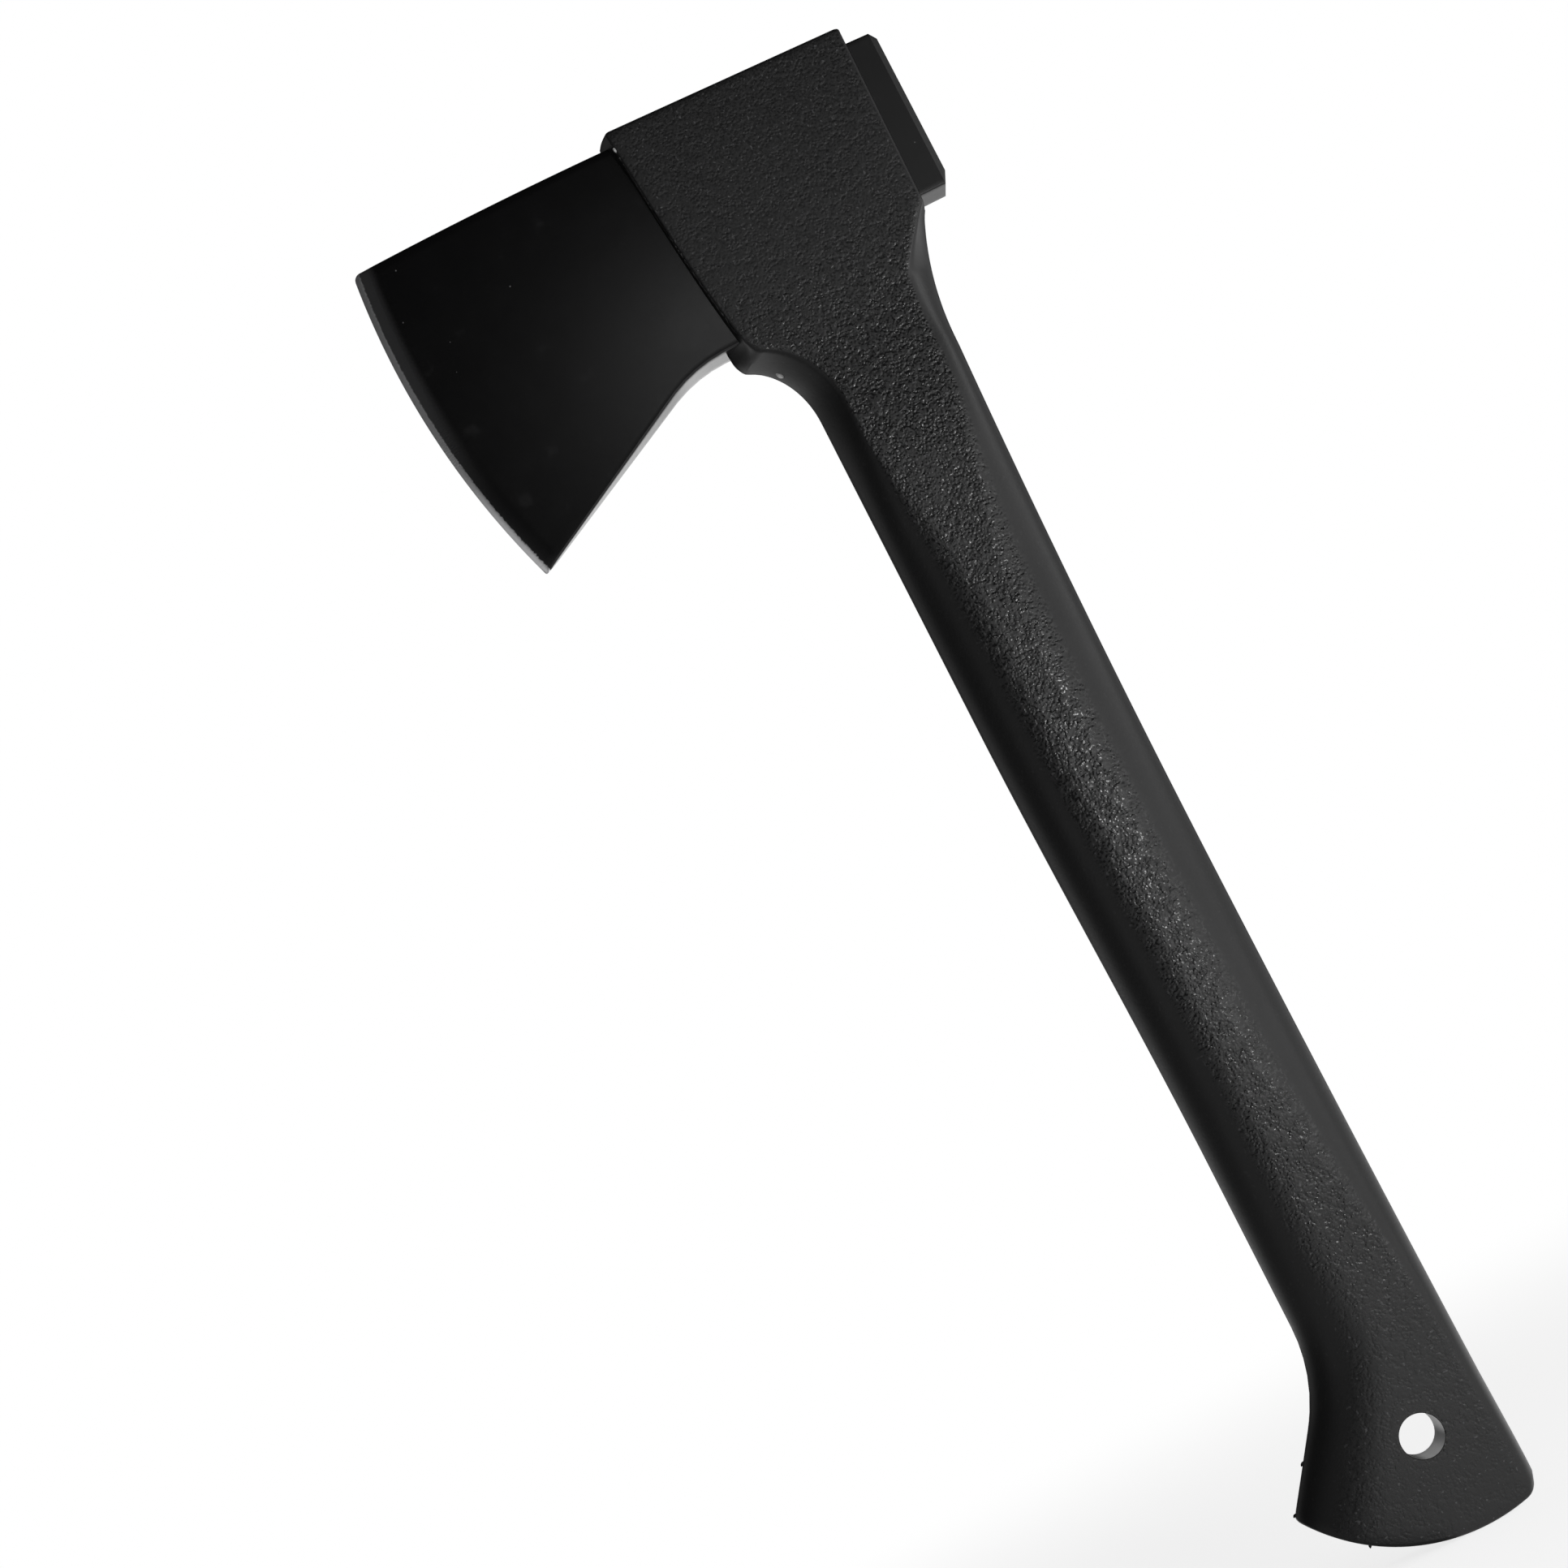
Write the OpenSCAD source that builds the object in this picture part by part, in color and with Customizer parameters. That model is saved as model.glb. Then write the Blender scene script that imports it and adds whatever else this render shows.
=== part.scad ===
// Camping hatchet: a steel head with a hammer poll, moulded into a one-piece nylon handle.
// The origin is the centre of the lanyard hole. +Z runs up the grip to the head, the blade points
// to -X and the poll to +X, and the tool's thickness lies along Y. Millimetres.

/* [Blade] */
// Straight distance from the toe to the heel of the cutting edge
edge_chord = 68.6; // [66:0.1:70]
// Radius of the curved cutting edge, seen from the side
edge_radius = 160; // [140:5:220]
// Lean of the cutting edge: its heel is closer to the grip than its toe
edge_lean = 6.5; // [5:0.5:8]
// Distance of the toe in front of the grip's axis
toe_reach = 79.4; // [76:0.1:82]
// Height of the toe above the lanyard hole
toe_height = 280.5; // [280:0.1:280.6]
// Thickness of the blade where it enters the collar
blade_thick = 10.4; // [9:0.1:12]
// Width of the ground bevel along the cutting edge
bevel_width = 4.2; // [3:0.1:6]
// Thickness of the blade behind the bevel
shoulder_thick = 2.2; // [1.8:0.1:3]
// Thickness left at the very edge
edge_thick = 0.3; // [0.2:0.1:0.5]
// Slope of the beard's straight lower edge
beard_angle = 28; // [27:0.5:30]

/* [Poll] */
// Thickness of the poll and of the eye section inside the collar
poll_thick = 9.2; // [8:0.1:10]
// Height of the poll's striking face, chamfers included
poll_height = 32.6; // [30:0.1:34]
// Distance of the striking face behind the grip's axis
poll_reach = 29.2; // [28:0.1:32]
// Chamfer round the striking face
poll_chamfer = 1.8; // [1:0.1:2.5]
// Diameter of the two holes that lock the head in the moulding
lock_hole_d = 10; // [6:0.5:12]

/* [Collar] */
// Thickness of the collar between its flat cheeks
collar_thick = 15.8; // [15:0.1:18]
// Height of the collar's front top corner above the lanyard hole
collar_top = 281.6; // [281.2:0.1:283]
// Fall of the collar's top from front to rear
top_slope = 2.1; // [1:0.1:2.5]
// Lean of the collar's front edge
front_lean = 5.8; // [4:0.1:7]
// Distance of the front top corner in front of the grip's axis
collar_front = 25; // [24:0.1:26]
// Distance of the rear top corner behind the grip's axis
collar_rear = 23.4; // [23:0.1:25]
// How far the collar's bevelled front lip stands out between the cheeks
lip_reach = 1.2; // [0.5:0.1:2]

/* [Grip] */
// Thickness of the grip at the neck, under the collar
neck_thick = 17; // [16:0.1:19]
// Thickness of the grip at its middle
grip_thick = 19.5; // [18:0.1:22]
// Distance of the front of the grip from the axis under the collar
grip_front_top = 12.9; // [12:0.1:14]
// Distance of the front of the grip from the axis above the butt
grip_front_low = 11.4; // [10:0.1:12.5]
// Distance of the back of the grip from the axis at its waist
grip_rear = 14.35; // [13:0.05:16]
// Height of the grip's waist above the lanyard hole
waist_height = 110; // [90:5:130]

/* [Butt] */
// Thickness of the butt round the lanyard hole
butt_thick = 15; // [13:0.1:17]
// Radius of the curved end of the butt
butt_radius = 36.8; // [34:0.1:40]
// Radius of the hollow in front of the butt
beak_radius = 30; // [25:1:35]
// Slope of the beak's front under the hollow, from the grip's axis
beak_slope = 36; // [30:1:40]
// Diameter of the lanyard hole
hole_d = 8.2; // [6:0.1:10]

/* [Hidden] */
$fn = 96;

// Cutting edge: the toe and heel, and the centre of the edge's arc, as [x, z].
toe = [-toe_reach, toe_height];
heel = toe + edge_chord * [sin(edge_lean), -cos(edge_lean)];
arc_depth = sqrt(pow(edge_radius, 2) - pow(edge_chord / 2, 2));
edge_centre = (toe + heel) / 2 + arc_depth * [cos(edge_lean), sin(edge_lean)];

// Collar corners, as [x, z].
collar_front_height = 48.8;
collar_rear_height = 37.2;
top_front = [-collar_front, collar_top];
top_rear = [collar_rear, collar_top - (collar_front + collar_rear) * tan(top_slope)];
low_front = top_front + collar_front_height * [tan(front_lean), -1];
low_rear = top_rear + [-0.7, -collar_rear_height];

// Walls of the moulding over and under the steel where it leaves the collar.
mouth_wall = 2.5;
sill = 1.6;

// Upper and lower edges of the steel inside the collar, where the wedge of the blade stops.
wedge_inset = 6;
wedge_end = low_front[0] + wedge_inset;
spine_slope = (toe[1] - collar_top + mouth_wall) / (toe_reach - collar_front);
spine_end = [wedge_end, toe[1] - spine_slope * (wedge_end + toe_reach)];
beard_top = [low_front[0] - 3, low_front[1] + sill];
poll_top = top_rear[1] - mouth_wall - 0.3;
poll_low = poll_top - poll_height;

// How far the eye section runs into the wedge of the blade.
eye_overlap = 2;

// The arch between the beard's straight edge and the level edge at the collar touches both.
beard_run = beard_top[0] - heel[0];
beard_rise = beard_top[1] - heel[1];
beard_radius = (beard_run * tan(beard_angle) - beard_rise)
    / (tan(beard_angle) * sin(beard_angle) - 1 + cos(beard_angle));

// Slope of each cheek of the blade, from the bevel's shoulder to the collar.
blade_span = edge_radius - (edge_centre[0] - low_front[0]);
cheek_slope = (blade_thick - shoulder_thick) / 2 / (blade_span - bevel_width);

// Throat in front of the grip and shoulder behind it, both under the collar.
throat_radius = 22;
throat_angle = 44;
throat_z = 215;
shoulder_radius = 70;
shoulder_angle = 21;
shoulder_z = 216;

throat_top = throat_z + throat_radius * sin(throat_angle);
// Height where the collar's flat block gives way to the grip's rings.
seam_z = 224;

// Swell of the back of the grip away from its waist, as radii of curvature.
swell_up = 2350;
swell_down = 8000;

// Butt: the end arc's centre, the height where the hollow starts, and the rear corner's radius.
butt_centre = [3, butt_radius - 19.1];
hollow_z = 27;
heel_corner = 4.5;

// The grip's rings: heights from below the butt to inside the collar, and points round each.
ring_low = -24;
ring_high = 238;
ring_points = 28;
// How square a ring is: 2 is an ellipse, and a large number a rectangle.
square_grip = 2.5;
square_butt = 5;
square_collar = 12;

function ease(t) = let (u = min(max(t, 0), 1)) u * u * (3 - 2 * u);
function mix(a, b, t) = a + (b - a) * ease(t);

// Front of the grip: throat, straight grip, hollow, then the beak's straight slope.
hollow_end_z = hollow_z - beak_radius * sin(beak_slope);
hollow_end_x = -grip_front_low - beak_radius * (1 - cos(beak_slope));
function straight_front(z) = -mix(grip_front_low, grip_front_top, (z - 60) / 90);
function front_x(z) =
    z > throat_z ? let (s = min((z - throat_z) / throat_radius, sin(throat_angle)))
        straight_front(z) - throat_radius * (1 - sqrt(1 - s * s))
    : z > hollow_z ? straight_front(z)
    : z > hollow_end_z ? let (s = (hollow_z - z) / beak_radius)
        -grip_front_low - beak_radius * (1 - sqrt(1 - s * s))
    : hollow_end_x - (hollow_end_z - z) * tan(beak_slope);

// Back of the grip: a slight swell both ways from the waist, and the shoulder under the collar.
function grip_back(z) = grip_rear + pow(z - waist_height, 2) / 2
    / (z > waist_height ? swell_up : swell_down);
function rear_x(z) = z > shoulder_z
    ? let (s = min((z - shoulder_z) / shoulder_radius, sin(shoulder_angle)))
        grip_back(shoulder_z) + shoulder_radius * (1 - sqrt(1 - s * s))
    : grip_back(z);

// Half the thickness, and the squareness, at each height.
function half_thick(z) =
    z > 200 ? mix(neck_thick, collar_thick - 0.4, (z - 200) / 30) / 2
    : z > waist_height ? mix(grip_thick, neck_thick, (z - waist_height) / 90) / 2
    : mix(butt_thick, grip_thick, (z - 8) / 92) / 2;
function squareness(z) = z > 120
    ? mix(square_grip, square_collar, (z - 190) / 40)
    : mix(square_butt, square_grip, (z - 10) / 60);

function signed_pow(v, p) = sign(v) * pow(abs(v), p);
function ring(z) =
    let (f = front_x(z), r = rear_x(z), e = 2 / squareness(z), h = half_thick(z))
    [for (i = [0 : ring_points - 1])
        let (a = 360 * (i + 0.5) / ring_points)
        [(f + r) / 2 + (r - f) / 2 * signed_pow(cos(a), e), h * signed_pow(sin(a), e), z]];

// A closed skin over a stack of rings with the same number of points.
module skin(rings) {
    n = len(rings[0]);
    last = (len(rings) - 1) * n;
    sides = [for (k = [0 : len(rings) - 2], i = [0 : n - 1])
        let (j = (i + 1) % n) [k * n + i, (k + 1) * n + i, (k + 1) * n + j, k * n + j]];
    caps = [[for (i = [0 : n - 1]) i], [for (i = [n - 1 : -1 : 0]) last + i]];
    polyhedron(points = [for (r = rings, p = r) p], faces = concat(sides, caps), convexity = 6);
}

// Turns a side outline drawn in X and Z into a slab of a given thickness, centred on Y = 0.
module slab(thick) {
    translate([0, thick / 2, 0])
        rotate([90, 0, 0])
            linear_extrude(height = thick)
                children();
}

// Blade seen from the side: spine, cutting edge, beard and the arch under the collar's mouth.
module blade_outline() {
    beyond = 30;
    arch_end = beard_top - beard_radius * [sin(beard_angle), 1 - cos(beard_angle)];
    difference() {
        intersection() {
            polygon([
                toe + beyond * [-1, spine_slope],
                spine_end,
                [wedge_end, beard_top[1]],
                beard_top,
                arch_end,
                heel,
                heel - beyond * [cos(beard_angle), sin(beard_angle)]
            ]);
            translate(edge_centre)
                circle(r = edge_radius, $fn = 360);
        }
        translate(beard_top - [0, beard_radius])
            circle(r = beard_radius, $fn = 180);
    }
}

// The blade's cross-section turned round the centre of the edge's arc, so the bevel stays even.
module blade_wedge() {
    deep = blade_span + 20;
    bevel_r = edge_radius - bevel_width;
    inner_r = edge_radius - deep;
    inner_half = shoulder_thick / 2 + (deep - bevel_width) * cheek_slope;
    translate([edge_centre[0], 0, edge_centre[1]])
        rotate([90, 0, 0])
            rotate_extrude($fn = 360)
                polygon([
                    [inner_r, -inner_half],
                    [bevel_r, -shoulder_thick / 2],
                    [edge_radius, -edge_thick / 2],
                    [edge_radius, edge_thick / 2],
                    [bevel_r, shoulder_thick / 2],
                    [inner_r, inner_half]
                ]);
}

// Eye section and poll seen from the side, with the two lock holes.
module eye_outline() {
    c = poll_chamfer;
    difference() {
        polygon([
            spine_end - [eye_overlap, 0],
            spine_end,
            [poll_reach - c, poll_top],
            [poll_reach, poll_top - c],
            [poll_reach, poll_low + c],
            [poll_reach - c, poll_low],
            [low_rear[0] - 2, poll_low],
            [wedge_end - eye_overlap, beard_top[1]]
        ]);
        for (x = [-6, 12])
            translate([x, (poll_top + poll_low) / 2])
                circle(d = lock_hole_d);
    }
}

// Eye section and poll seen from above, with the chamfers of the striking face.
module poll_plan() {
    c = poll_chamfer;
    h = poll_thick / 2;
    front = wedge_end - eye_overlap;
    polygon([[front, -h], [poll_reach - c, -h], [poll_reach, c - h], [poll_reach, h - c],
             [poll_reach - c, h], [front, h]]);
}

module head_solid() {
    intersection() {
        slab(blade_thick + 6)
            blade_outline();
        blade_wedge();
    }
    intersection() {
        slab(poll_thick + 6)
            eye_outline();
        translate([0, 0, poll_low - 10])
            linear_extrude(height = poll_height + 30)
                poll_plan();
    }
}

// Collar seen from the side, with the shoulder behind it and the throat in front.
module collar_outline() {
    lip = [-lip_reach / cos(front_lean), 0];
    polygon([
        top_front + lip,
        top_rear,
        low_rear,
        for (z = [low_rear[1] - 1.5 : -4 : seam_z]) [rear_x(z), z],
        for (z = [seam_z : 3 : throat_top]) [front_x(z), z],
        [front_x(throat_top), throat_top],
        low_front,
        low_front + lip
    ]);
}

// Collar seen along its leaning front edge, with the lip's bevels on both sides of the blade.
module collar_plan() {
    h = collar_thick / 2;
    bevel = 2.4;
    back = 60;
    polygon([[back, -h], [0, -h], [-lip_reach, bevel - h],
             [-lip_reach, h - bevel], [0, h], [back, h]]);
}

module collar_block() {
    plan_height = 140;
    intersection() {
        slab(collar_thick + 2)
            collar_outline();
        translate([low_front[0], 0, low_front[1]])
            rotate([0, -front_lean, 0])
                linear_extrude(height = plan_height, center = true)
                    collar_plan();
    }
}

// The butt's curved end, with its rounded rear corner.
module butt_end() {
    rear = rear_x(0) + 0.6;
    corner_x = rear - heel_corner;
    reach = butt_radius - heel_corner;
    corner_z = butt_centre[1] - sqrt(pow(reach, 2) - pow(corner_x - butt_centre[0], 2));
    wide = 60;
    slab(wide)
        difference() {
            translate([-wide, ring_low - 1])
                square([2 * wide, ring_high - ring_low + 2]);
            difference() {
                translate([-wide, ring_low - 1])
                    square([2 * wide, butt_centre[1] - ring_low + 1]);
                translate(butt_centre)
                    circle(r = butt_radius, $fn = 180);
            }
            difference() {
                translate([corner_x, ring_low - 1])
                    square([wide, corner_z - ring_low + 1]);
                translate([corner_x, corner_z])
                    circle(r = heel_corner);
            }
        }
}

module grip_body() {
    steep = [for (z = [ring_low : 3 : hollow_z]) z];
    plain = [for (z = [34 : 12 : 190]) z];
    blend = [for (z = [198 : 4 : ring_high]) z];
    intersection() {
        skin([for (z = concat(steep, plain, blend)) ring(z)]);
        butt_end();
    }
}

// Steel head: blade, eye section and poll in one piece.
module axe_head() {
    color([0.09, 0.09, 0.1])
        head_solid();
}

// Nylon moulding: collar, grip and butt in one piece, closed round the head.
module handle() {
    color([0.16, 0.16, 0.17])
        difference() {
            union() {
                collar_block();
                grip_body();
            }
            head_solid();
            translate([0, butt_thick, 0])
                rotate([90, 0, 0])
                    cylinder(d = hole_d, h = 2 * butt_thick);
        }
}

axe_head();
handle();
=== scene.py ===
"""Looks of a camping hatchet: a black-coated steel head moulded into a grained nylon handle.

The row frame is X towards the poll, Y through the thickness and Z up the grip, with the origin at the
lanyard hole. Shapes are worked out in millimetres and turned into metres when a mesh is made.
"""

import math

import bmesh
import bpy
from mathutils import Matrix, Vector, noise


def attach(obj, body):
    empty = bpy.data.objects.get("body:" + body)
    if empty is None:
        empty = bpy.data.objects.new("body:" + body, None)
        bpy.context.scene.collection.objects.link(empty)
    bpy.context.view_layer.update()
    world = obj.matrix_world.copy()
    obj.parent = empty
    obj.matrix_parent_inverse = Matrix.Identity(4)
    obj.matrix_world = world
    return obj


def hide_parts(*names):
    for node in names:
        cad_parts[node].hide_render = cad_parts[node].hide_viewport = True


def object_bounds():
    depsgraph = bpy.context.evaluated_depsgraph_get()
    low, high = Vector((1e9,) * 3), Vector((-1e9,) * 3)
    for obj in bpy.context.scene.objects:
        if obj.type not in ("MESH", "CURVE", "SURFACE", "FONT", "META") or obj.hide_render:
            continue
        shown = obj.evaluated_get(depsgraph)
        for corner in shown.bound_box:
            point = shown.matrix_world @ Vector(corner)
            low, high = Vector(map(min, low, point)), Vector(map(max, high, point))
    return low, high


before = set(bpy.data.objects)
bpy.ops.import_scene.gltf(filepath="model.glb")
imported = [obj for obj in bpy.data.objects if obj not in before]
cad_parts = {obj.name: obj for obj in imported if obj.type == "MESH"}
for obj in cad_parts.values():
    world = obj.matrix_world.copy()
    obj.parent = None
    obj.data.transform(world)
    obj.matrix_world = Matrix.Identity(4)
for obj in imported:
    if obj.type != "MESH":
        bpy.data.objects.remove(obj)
cad_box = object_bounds()

MM = 0.001

# Cutting edge and blade: the edge is an arc round EDGE_CENTRE. Points are [x, z].
EDGE_RADIUS = 160.0
EDGE_CENTRE = (79.76, 264.11)
TOE = (-79.4, 280.5)
HEEL = (-71.63, 212.34)
TOE_ROUND = 1.3
HEEL_ROUND = 0.5
SPINE_END = (-14.04, 278.8)
SPINE_BULGE = 0.6
SPINE_ROUND = 0.7
BEARD_TOP = (-23.04, 234.4)
BEARD_ANGLE = math.radians(28)
BEARD_RADIUS = 27.0
BEARD_ROUND = 0.4

# Half-thickness behind the cutting edge: micro bevel, convex bevel, flat cheek.
EDGE_HALF = 0.06
MICRO_WIDTH = 1.1
MICRO_HALF = 0.5
MICRO_BOW = 0.25
BEVEL_WIDTH = 4.2
SHOULDER_HALF = 1.1
CHEEK_SLOPE = 0.0732
BEVEL_DEPTHS = (0.0, 0.1, 0.3, 0.6, 0.85, 1.1, 1.2, 1.5, 2.0, 2.6, 3.2, 3.7, 4.2, 4.8)
CHEEK_START = 6.0
CHEEK_PITCH = 2.9
CHEEK_RINGS = 21

# Eye and poll.
EYE_HALF = 4.6
EYE_FRONT_HALF = 5.2
EYE_FRONT_BLEND = 8.0
EYE_LOW_SPAN = (-16.0, 20.0)
EYE_RINGS = (-8.0, 0.0, 8.0, 16.0, 22.0)
EYE_ROUND = 0.35
POLL_REACH = 29.2
POLL_TOP = 277.03
POLL_LOW = 244.43
POLL_CHAMFER = 1.2
POLL_LOW_CHAMFER = 2.6

# Collar: the front and rear edges of its flat cheeks, and the lip that laps the blade.
TOP_FRONT = (-25.0, 281.6)
TOP_REAR = (23.4, 279.83)
LOW_FRONT = (-20.04, 232.8)
LOW_REAR = (22.7, 242.63)
COLLAR_HALF = 7.9
COLLAR_EDGE = 0.8
COLLAR_REAR_REACH = 0.3
COLLAR_CORNER = 0.7
LIP_TOP = 1.95
LIP_LOW = 2.64
LIP_SWEEP = 1.5
LIP_CORNER = 0.4
LIP_FADE = 12.0
MOUTH_GAP = 0.08

# Outline of the grip: its front, then its back.
GRIP_FRONT_TOP = 12.85
GRIP_FRONT_LOW = 11.4
GRIP_FRONT_SPAN = (60.0, 150.0)
HOLLOW_Z = 27.0
BEAK_RADIUS = 30.0
BEAK_SLOPE = math.radians(36)
HOLLOW_END = (-GRIP_FRONT_LOW - BEAK_RADIUS * (1 - math.cos(BEAK_SLOPE)),
              HOLLOW_Z - BEAK_RADIUS * math.sin(BEAK_SLOPE))
THROAT_Z = 215.0
THROAT_REACH = 12.2
THROAT_RISE = 15.5
THROAT_TOP = 229.86
GRIP_REAR = 14.35
WAIST = 110.0
SWELL_ABOVE = 2350.0
SWELL_BELOW = 8000.0
FLARE = 0.45
FLARE_TOP = 12.0
FLARE_HEIGHT = 25.0
SHOULDER_Z = 217.0
SHOULDER_RADIUS = 60.0

# Half-thickness of the grip, and the heights between which it changes.
GRIP_HALF = 9.66
NECK_HALF = 8.5
BUTT_HALF = 7.45
NECK_Z = 195.0
NECK_SPAN = (195.0, 230.0)
GRIP_SPAN = (8.0, 100.0)

# How far the flanks round over from the outline, and the heights between which that changes.
BUTT_REACH = 15.0
BUTT_REAR_REACH = 3.2
GRIP_REACH = 11.6
NECK_REACH = 5.4
NECK_REAR_REACH = 5.0
THROAT_END_REACH = 4.3
FLANK_MIDDLE = 100.0
FLANK_SPAN = (168.0, 213.0)
THROAT_SPAN = (213.0, 229.6)
LIP_SPAN = (229.6, LOW_FRONT[1])
BUTT_SPAN = (5.0, 45.0)
BUTT_REAR_SPAN = (8.0, 83.0)
SHOULDER_SPAN = (232.0, LOW_REAR[1])

# Heights between which the flanks' edges turn from smooth to creased and rounded.
FRONT_CREASE_SPAN = (188.0, 222.0)
FRONT_CORNER_SPAN = (200.0, 225.0)
REAR_CREASE_SPAN = (215.0, 240.0)
REAR_CORNER_SPAN = (220.0, 235.0)

# Butt and lanyard hole.
BUTT_START = 12.0
BUTT_CENTRE = (3.0, 17.7)
BUTT_RADIUS = 36.72
BUTT_EDGE = 0.7
BEAK_CORNER = 1.3
HEEL_CORNER = 4.5
HEEL_FLARE = 0.1
HOLE_RADIUS = 4.1
HOLE_RIM = 0.55
HOLE_RIM_LIFT = 0.45

# How finely the meshes are divided.
HEAD_WALL_STEPS = 3
HEAD_TURN_STEPS = 5
HEAD_CHEEK_STEPS = 44
FLANK_STEPS = 18
CHEEK_STEPS = 22
GRIP_PITCH = 3.0
GRIP_RINGS = 67
NECK_STEPS = 36
COLLAR_STEPS = 24
BUTT_STEPS = 12
BEAK_STEPS = 8
HEEL_STEPS = 12
HOLE_SIDES = 72

# The line that the two halves of the mould leave round the handle.
SEAM_HEIGHT = 0.09
SEAM_STEPS = (0.0, 0.14, 0.3)

# Threads of flash along the joint of blade and collar, as (low z, high z, y, radius, seed).
STRANDS = (
    (235.5, 277.6, 6.9, 0.15, 0.0),
    (264.0, 278.6, 7.5, 0.2, 11.0),
    (238.0, 259.0, 7.5, 0.17, 23.0),
)
STRAND_SIDES = ((-1, 3.0), (1, 41.0))
STRAND_PITCH = 0.45

# Beads of flash at the slot's top, the throat and the butt, as (start, end, radius).
BURRS = (
    ((-24.8, -7.55, 278.5), (-24.6, -7.65, 276.8), 0.26),
    ((-16.45, -2.0, 226.55), (-15.45, -2.1, 225.45), 0.34),
    ((-20.6, 0.0, 4.7), (-21.3, 0.1, 4.0), 0.27),
    ((-26.0, 0.1, -3.0), (-26.7, 0.1, -3.5), 0.3),
    ((-16.9, -5.9, -12.6), (-17.2, -6.0, -13.6), 0.3),
)
BURR_SHAPE = ((0.0, 0.3), (0.3, 0.9), (0.6, 1.0), (0.85, 0.6), (1.0, 0.2))
RIM_BURR_TURNS = (-62, -44, -20, 8)

# Painted highlights: whitish spots painted on the flash beads at the slot's top and the throat, where they
# catch the light, as [x, y, z, radius].
PAINTED_FLASH_HIGHLIGHTS = (
    (-15.85, -2.1, 226.0, 0.4),
    (-16.25, -2.1, 226.3, 0.35),
    (-24.75, -7.8, 277.4, 0.22),
    (-24.8, -7.8, 277.75, 0.22),
)

# Softboxes, as (name, azimuth, elevation, distance in m, size in m, power in W).
LIGHTS = (
    ("key", 24, -3.5, 0.7, 0.5, 1.0),
    ("glint", 12, 4, 0.7, 0.09, 0.4),
    ("blade_light", -5.5, 19, 0.74, 0.08, 0.05),
    ("front_side", 64, -8, 1.3, 1.2, 5.2),
    ("poll_side", 97, 14, 0.9, 0.3, 0.45),
    ("edge_front", -46, 0, 1.2, 0.4, 0.22),
    ("behind", 180, 1, 0.9, 0.3, 0.3),
    ("back_side", 128, 0, 1.3, 1.2, 0.9),
    ("edge_side", -125, 5, 1.2, 0.9, 0.42),
)
LIGHT_AIM = Vector((0, 0, 0.13))

# Brightness of the backdrop and the floor: seen by the camera, and as the hatchet's surroundings.
WORLD_FILL = 0.035
FLOOR_RADIUS = 6.0
FLOOR_GLOW = 0.78
FLOOR_FADE = (0.15, 0.7)
FLOOR_BOUNCE = 0.62
FLOOR_SHADED = 0.12
SHADED_WAY = (-0.906, -0.423, 0)


# ---------------------------------------------------------------- small maths

def ease(t):
    u = min(max(t, 0.0), 1.0)
    return u * u * (3 - 2 * u)


def share(value, span):
    """Where a value lies in a span, from 0 to 1."""
    return min(max((value - span[0]) / (span[1] - span[0]), 0.0), 1.0)


def mix(a, b, t):
    return a + (b - a) * ease(t)


def lerp(a, b, t):
    """Between two numbers or two points."""
    if isinstance(a, tuple):
        return tuple(p + (q - p) * t for p, q in zip(a, b))
    return a + (b - a) * t


def arc(centre, radius, start, end, steps):
    """Points of a circle's arc between two angles in radians, ends included."""
    turn = [lerp(start, end, k / steps) for k in range(steps + 1)]
    return [(centre[0] + radius * math.cos(a), centre[1] + radius * math.sin(a)) for a in turn]


def heading(centre, point):
    """Direction from one point to another, from 0 to a full turn."""
    return math.atan2(point[1] - centre[1], point[0] - centre[0]) % (2 * math.pi)


class Path:
    """A polyline that is read by its length."""

    def __init__(self, points):
        self.points = points
        self.marks = [0.0]
        for p, q in zip(points, points[1:]):
            self.marks.append(self.marks[-1] + math.dist(p, q))
        self.length = self.marks[-1]

    def at(self, s):
        s = min(max(s, 0.0), self.length)
        k = 1
        while k < len(self.marks) - 1 and self.marks[k] < s:
            k += 1
        gap = self.marks[k] - self.marks[k - 1]
        return lerp(self.points[k - 1], self.points[k], (s - self.marks[k - 1]) / gap)

    def part(self, start, end):
        """The stretch between two lengths, as a new path."""
        inner = [p for p, m in zip(self.points, self.marks) if start < m < end]
        return Path([self.at(start)] + inner + [self.at(end)])


# ---------------------------------------------------------------- meshes

def bands(count, sides):
    """Faces that join each of a number of rings to the next."""
    faces = []
    for k in range(count - 1):
        a, b = k * sides, (k + 1) * sides
        faces += [(a + i, a + (i + 1) % sides, b + (i + 1) % sides, b + i) for i in range(sides)]
    return faces


def loft(rings):
    """Points and faces of a closed skin over rings.

    Point i of a ring mirrors point -i, so both ends close with quads.
    """
    n = len(rings[0])
    faces = bands(len(rings), n)
    for base in (0, (len(rings) - 1) * n):
        for i in range(n // 2):
            face = [base + i, base + i + 1, base + (n - i - 1) % n, base + (n - i) % n]
            faces.append(tuple(dict.fromkeys(face)))
    return [p for ring in rings for p in ring], faces


def barrel(rings):
    """Points and faces of a closed skin over round rings, with a flat face at each end."""
    sides = len(rings[0])
    faces = bands(len(rings), sides)
    faces.append(tuple(range(sides)))
    faces.append(tuple((len(rings) - 1) * sides + i for i in range(sides)))
    return [tuple(p) for ring in rings for p in ring], faces


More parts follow.
